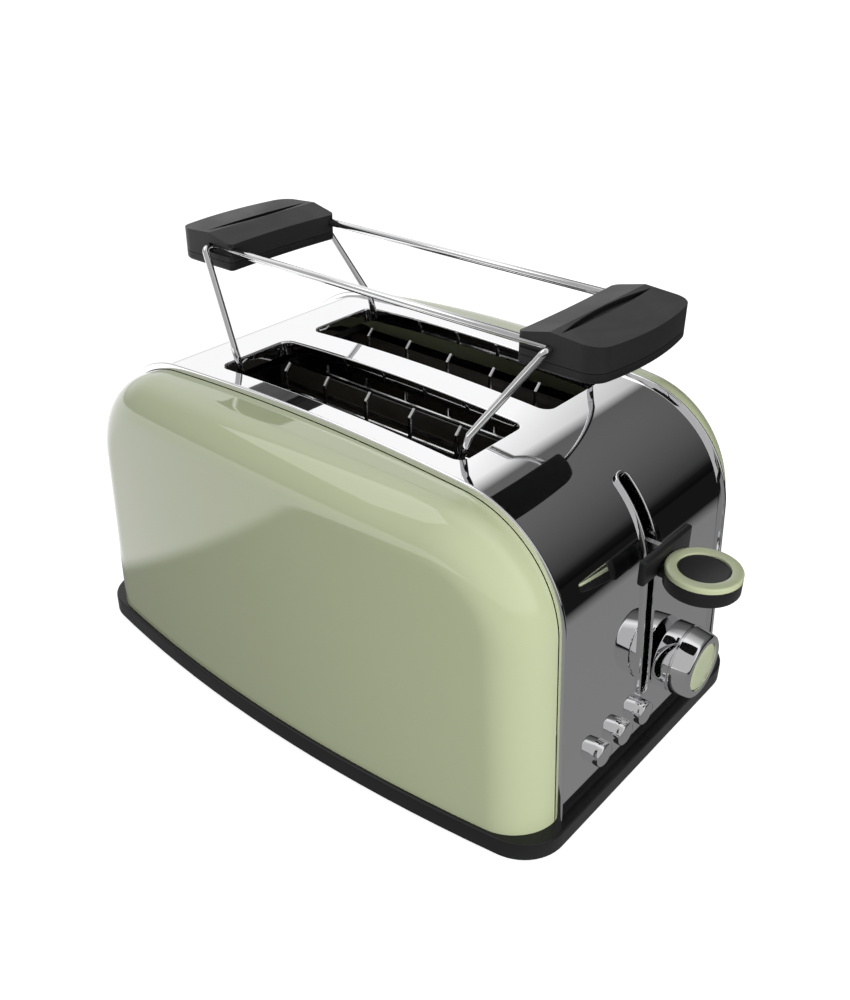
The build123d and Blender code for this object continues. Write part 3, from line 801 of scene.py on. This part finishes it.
# Browning knob and the disc in its face
KNOB = (0.0, 19.8, 45.2)
KNOB_PROFILE = [
    (129.2, 14.4),
    (129.4, 15.0),
    (129.8, 15.2),
    (135.9, 15.2),
    (136.15, 14.9),
    (136.2, 14.5),
    (136.9, 14.5),
    (136.95, 14.9),
    (137.2, 15.15),
    (143.6, 14.2),
    (144.5, 13.9),
    (145.0, 13.3),
    (145.2, 12.6),
    (145.2, 11.2),
    (145.0, 10.8),
    (143.7, 10.8),
]
knob = lathe(
    "knob_turned",
    KNOB_PROFILE,
    KNOB,
    "X",
    body="browning_dial",
    stands_for=("browning_knob",),
    slot="polished_chrome",
)
dress(knob, chrome)
KNOB_DISC_PROFILE = [
    (143.6, 10.6),
    (144.3, 10.6),
    (144.6, 10.3),
    (144.75, 9.6),
    (144.8, 6.0),
    (144.8, 0.4),
]
knob_disc = lathe(
    "knob_disc",
    KNOB_DISC_PROFILE,
    KNOB,
    "X",
    body="browning_dial",
    stands_for=("browning_knob_cap",),
    slot="green_gloss",
)
dress(knob_disc, green)

# Buttons
BUTTON_Z, BUTTON_PROUD = 28.0, 4.6
BUTTON_PROFILE = [
    (-6.5, 5.3),
    (-1.0, 5.3),
    (-0.55, 5.15),
    (-0.25, 4.8),
    (-0.08, 4.2),
    (0.0, 3.0),
    (0.0, 0.3),
]
for name, y in (("reheat", -2), ("defrost", -18), ("cancel", -34)):
    front = end_x(BUTTON_Z) + BUTTON_PROUD
    button = lathe(
        "button_cap_" + name,
        [(front + back, radius) for back, radius in BUTTON_PROFILE],
        (0.0, y, BUTTON_Z),
        "X",
        body=name + "_key",
        stands_for=("button_" + name,),
        slot="polished_chrome",
    )
    dress(button, chrome)

# Gland in the left end
GLAND_Y, GLAND_Z, GLAND_GAP = 36.0, 30.0, 0.6
GLAND_PROFILE = [
    (7.0, 3.7),
    (7.0, 5.0),
    (0.0, 5.0),
    (0.0, 7.0),
    (-1.9, 7.0),
    (-2.4, 6.5),
    (-2.4, 4.2),
    (-2.0, 3.6),
    (6.0, 3.6),
]
gland_x = -end_x(GLAND_Z) - GLAND_GAP
gland = lathe(
    "gland_turned",
    [(gland_x + far, radius) for far, radius in GLAND_PROFILE],
    (0.0, GLAND_Y, GLAND_Z),
    "X",
    stands_for=("cord_gland",),
    slot="black_plastic",
)
dress(gland, black)

# Rack wires
RACK_X, RAIL_HALF, RAIL_Y, RAIL_Z, RAIL_R = 4.0, 86.4, 29.5, 187.5, 1.7
LEG_R, LEG_BEND = 1.5, 2.4
LEG_POINTS = [(60.3, 43.2, 140.0), (64.0, 43.2, 151.0), (88.3, 34.6, RAIL_Z)]
for name, y, stands_for in (("rail_front", -RAIL_Y, ("rack_rails",)), ("rail_rear", RAIL_Y, ())):
    path = [Vector((RACK_X + x, y, RAIL_Z)) for x in (-RAIL_HALF, 0.0, RAIL_HALF)]
    facts = {"body": "rack", "stands_for": stands_for, "slot": "polished_chrome"}
    dress(tube(name, path, RAIL_R, **facts), wire_chrome)
for hand, side in (("right", 1), ("left", -1)):
    corners = [(RACK_X + side * x, -y, z) for x, y, z in LEG_POINTS]
    corners += [(RACK_X + side * x, y, z) for x, y, z in reversed(LEG_POINTS)]
    leg = tube(
        "leg_" + hand,
        rounded_path(corners, LEG_BEND),
        LEG_R,
        body=hand + "_legs",
        stands_for=("rack_legs_" + hand,),
        slot="polished_chrome",
    )
    dress(leg, wire_chrome)

# Return spring, a fixed coil over the height of the carriage spring
SPRING_X, SPRING_Y, SPRING_R, SPRING_WIRE, SPRING_TURNS = 96.0, -9.7, 3.0, 0.45, 9
spring_low, spring_high = (1000 * corner.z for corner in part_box("carriage_spring"))
coil = []
coil_heights = spread(spring_low + SPRING_WIRE, spring_high - SPRING_WIRE, SPRING_TURNS * 20)
for n, z in enumerate(coil_heights):
    turn = 2 * pi * n / 20
    coil.append(Vector((SPRING_X + SPRING_R * cos(turn), SPRING_Y + SPRING_R * sin(turn), z)))
spring = tube(
    "return_spring",
    coil,
    SPRING_WIRE,
    body=None,
    stands_for=("carriage_spring",),
    slot="zinc_steel",
)
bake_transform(spring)
dress(spring, zinc)

# Floor: pale to the camera; to mirror rays it glows in a bright and a dark field, a painted
# reflection for the chrome
bpy.ops.mesh.primitive_plane_add(size=6)
floor = bpy.context.object
floor.name = "studio_floor"
paper = bpy.data.materials.new("floor_paper_and_painted_reflection")
paper.use_nodes = True
tree = paper.node_tree
tree.nodes.clear()
new, link = tree.nodes.new, tree.links.new

across = new("ShaderNodeVectorMath")
across.operation = "DOT_PRODUCT"
across.inputs[1].default_value = (1.0, 0.25, 0.0)
link(new("ShaderNodeTexCoord").outputs["Object"], across.inputs[0])
# Painted reflection: bright and dark bands the floor glows with for glossy rays only, standing in
# for the studio seen in the chrome
PAINTED_REFLECTION_STOPS = (
    (0.0, 0.6),
    (0.292, 0.6),
    (0.306, 0.12),
    (0.55, 0.12),
    (0.62, 0.105),
    (0.76, 0.10),
    (0.86, 0.004),
    (1.0, 0.004),
)
painted_reflection_field = mapped(tree, across.outputs["Value"], -0.5, 0.5)
# Painted reflection: the floor glows with this field, though it is no lamp, and only mirror rays
# see it
mirrored = new("ShaderNodeEmission")
mirrored.inputs["Strength"].default_value = 2
link(grey_ramp(tree, painted_reflection_field, PAINTED_REFLECTION_STOPS), mirrored.inputs["Color"])
bounce = new("ShaderNodeBsdfDiffuse")
bounce.inputs["Color"].default_value = (0.35, 0.35, 0.35, 1)
pale = new("ShaderNodeBsdfDiffuse")
pale.inputs["Color"].default_value = (0.62, 0.62, 0.62, 1)
glow = new("ShaderNodeEmission")
glow.inputs["Strength"].default_value = 0.74
seen = new("ShaderNodeAddShader")
link(pale.outputs[0], seen.inputs[0])
link(glow.outputs[0], seen.inputs[1])
rays = new("ShaderNodeLightPath")
unseen, surface = new("ShaderNodeMixShader"), new("ShaderNodeMixShader")
link(rays.outputs["Is Glossy Ray"], unseen.inputs["Fac"])
link(bounce.outputs[0], unseen.inputs[1])
link(mirrored.outputs[0], unseen.inputs[2])
link(rays.outputs["Is Camera Ray"], surface.inputs["Fac"])
link(unseen.outputs[0], surface.inputs[1])
link(seen.outputs[0], surface.inputs[2])
link(surface.outputs[0], new("ShaderNodeOutputMaterial").inputs["Surface"])
dress(floor, paper)

# World: white to the camera, and a room with a bright left and a dark back right for the rest
world = bpy.data.worlds.new("studio_world")
bpy.context.scene.world = world
world.use_nodes = True
tree = world.node_tree
tree.nodes.clear()
new, link = tree.nodes.new, tree.links.new

direction = new("ShaderNodeSeparateXYZ")
link(new("ShaderNodeTexCoord").outputs["Generated"], direction.inputs[0])
to_x, to_y, to_z = (direction.outputs[axis] for axis in "XYZ")
BRIGHT_STOPS = ((0.0, 0.75), (0.03, 0.85), (0.08, 1.0), (0.24, 1.0), (1.0, 1.0))
DARK_STOPS = ((0.0, 0.004), (0.06, 0.008), (0.16, 0.045), (0.34, 0.075), (0.72, 0.13), (1.0, 0.6))
bright_side = grey_ramp(tree, to_z, BRIGHT_STOPS)
dark_side = grey_ramp(tree, to_z, DARK_STOPS)
left_side = mixed(tree, mapped(tree, to_y, -0.25, 0.15), (0.46, 0.46, 0.46), bright_side)
back_right = new("ShaderNodeMath")
back_right.operation = "MULTIPLY"
link(mapped(tree, to_x, -0.46, -0.26), back_right.inputs[0])
link(mapped(tree, to_y, 0.05, 0.30), back_right.inputs[1])
room = new("ShaderNodeBackground")
link(mixed(tree, back_right.outputs[0], left_side, dark_side), room.inputs["Color"])
white = new("ShaderNodeBackground")
white.inputs["Color"].default_value = (1, 1, 1, 1)
surroundings = new("ShaderNodeMixShader")
link(new("ShaderNodeLightPath").outputs["Is Camera Ray"], surroundings.inputs["Fac"])
link(room.outputs[0], surroundings.inputs[1])
link(white.outputs[0], surroundings.inputs[2])
link(surroundings.outputs[0], new("ShaderNodeOutputWorld").inputs["Surface"])


def lamp(name, place, target, size, power, mirrored=True):
    """Soft square lamp that looks at a target, in metres, and shows in mirrors if asked."""
    light = bpy.data.lights.new(name, "AREA")
    light.size, light.energy = size, power
    obj = bpy.data.objects.new(name, light)
    obj.location = place
    obj.rotation_euler = (Vector(place) - Vector(target)).to_track_quat("Z", "Y").to_euler()
    obj.visible_glossy = mirrored
    bpy.context.scene.collection.objects.link(obj)


lamp("key_lamp", (1.25, -0.45, 0.42), (0.1, 0, 0.08), 0.8, 17, mirrored=False)
lamp("top_lamp", (-0.6, -0.5, 1.3), (0, 0, 0.08), 0.9, 3)

# Camera, level and turned as in the photograph
AZIMUTH, ELEVATION = radians(40.69), radians(30.41)
eye = Vector(in_frame(278.4, -323.0, 329.6))
back = Vector((sin(AZIMUTH) * cos(ELEVATION), -cos(AZIMUTH) * cos(ELEVATION), sin(ELEVATION)))
right = Vector((cos(AZIMUTH), sin(AZIMUTH), 0))
up = back.cross(right)
lens = bpy.data.cameras.new("camera")
lens.sensor_fit, lens.sensor_width, lens.lens = "HORIZONTAL", 36, 45.57
lens.shift_x, lens.shift_y = 0.0219, -0.0020
camera = bpy.data.objects.new("camera", lens)
camera.matrix_world = Matrix.Translation(eye) @ Matrix((right, up, back)).transposed().to_4x4()
bpy.context.scene.collection.objects.link(camera)
bpy.context.scene.camera = camera
bpy.context.scene.view_settings.view_transform = "Standard"
